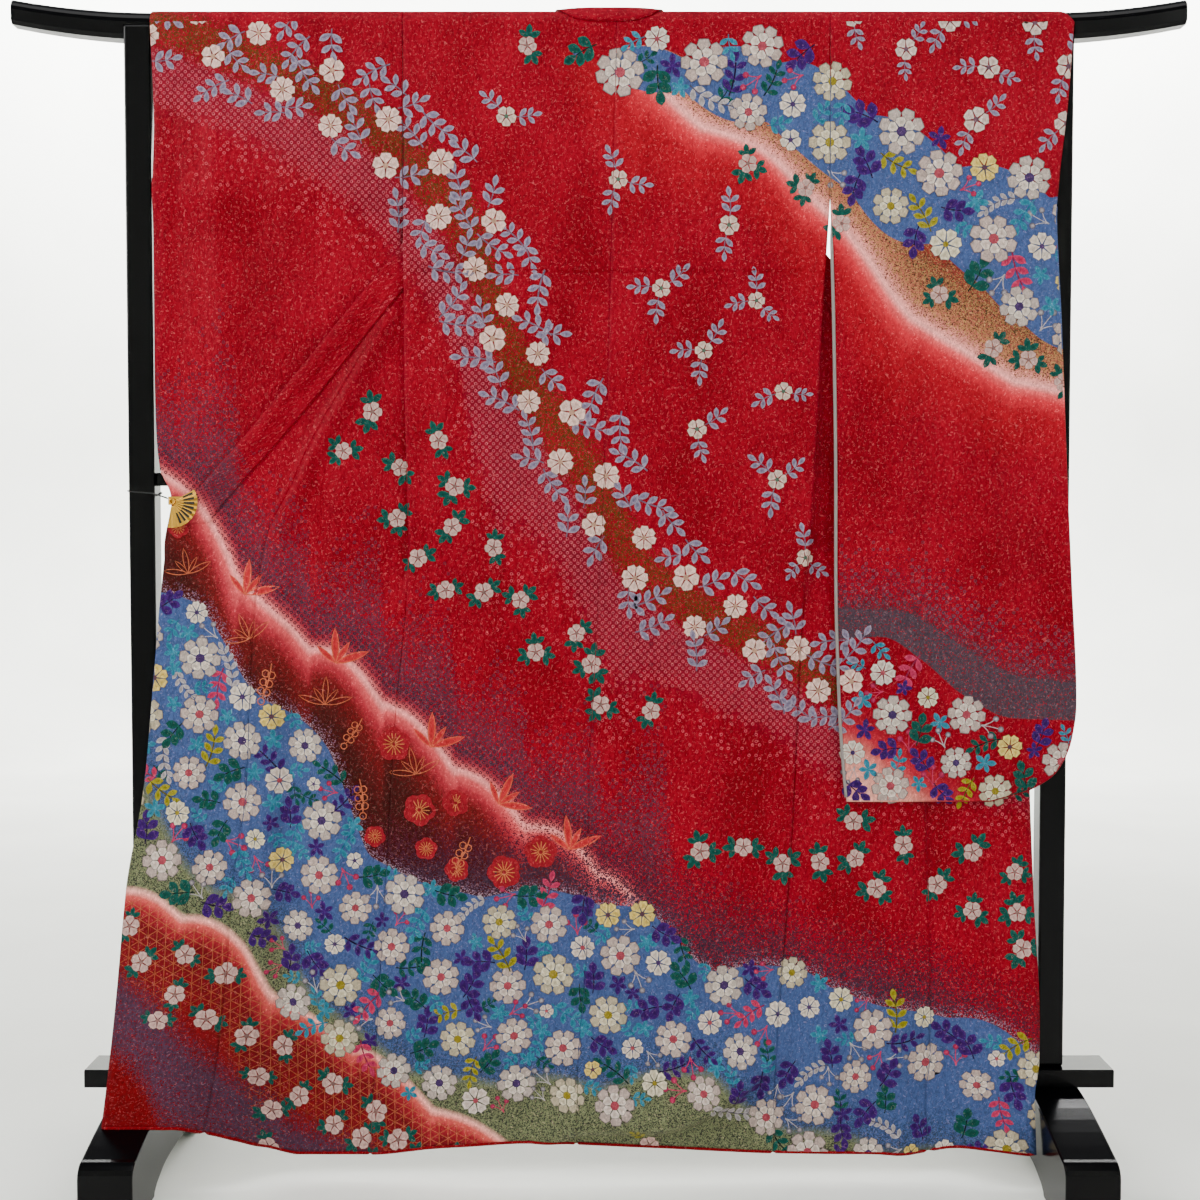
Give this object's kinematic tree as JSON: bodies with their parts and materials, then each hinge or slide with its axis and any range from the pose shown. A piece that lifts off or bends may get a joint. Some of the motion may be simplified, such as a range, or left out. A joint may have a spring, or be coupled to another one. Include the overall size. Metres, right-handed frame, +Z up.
{
  "type": "furisode on kimono stand",
  "caption": "Long-sleeved lined silk kimono hung back outwards on a black lacquered stand, its fronts spread and one held by a folding-fan clip.",
  "frame": {"origin": "on the floor, under the middle of the top bar", "axes": "+Z up, -Y towards the viewer who sees the garment's back, +X to that viewer's right along the top bar"},
  "size_m": [1.696, 0.45, 1.7114],
  "materials": {
    "silk": "figured red silk, lined",
    "silk_field": "figured silk dyed with a blue flower field",
    "lacquer": "black gloss lacquer on wood",
    "brass": "polished gilt brass",
    "braid": "black braided cord"
  },
  "bodies": {
    "root": {"back_left": "silk", "back_right": "silk", "front_left": "silk_field", "front_right": "silk_field", "okumi_left": "silk", "okumi_right": "silk", "collar": "silk", "sleeve_left": "silk", "sleeve_right": "silk", "top_bar": "lacquer", "post_left": "lacquer", "post_right": "lacquer", "mid_rail": "lacquer", "low_board": "lacquer", "foot_left": "lacquer", "foot_right": "lacquer", "clip_fan": "brass", "clip_jaw": "brass", "clip_tie": "braid"}
  },
  "joints": []
}
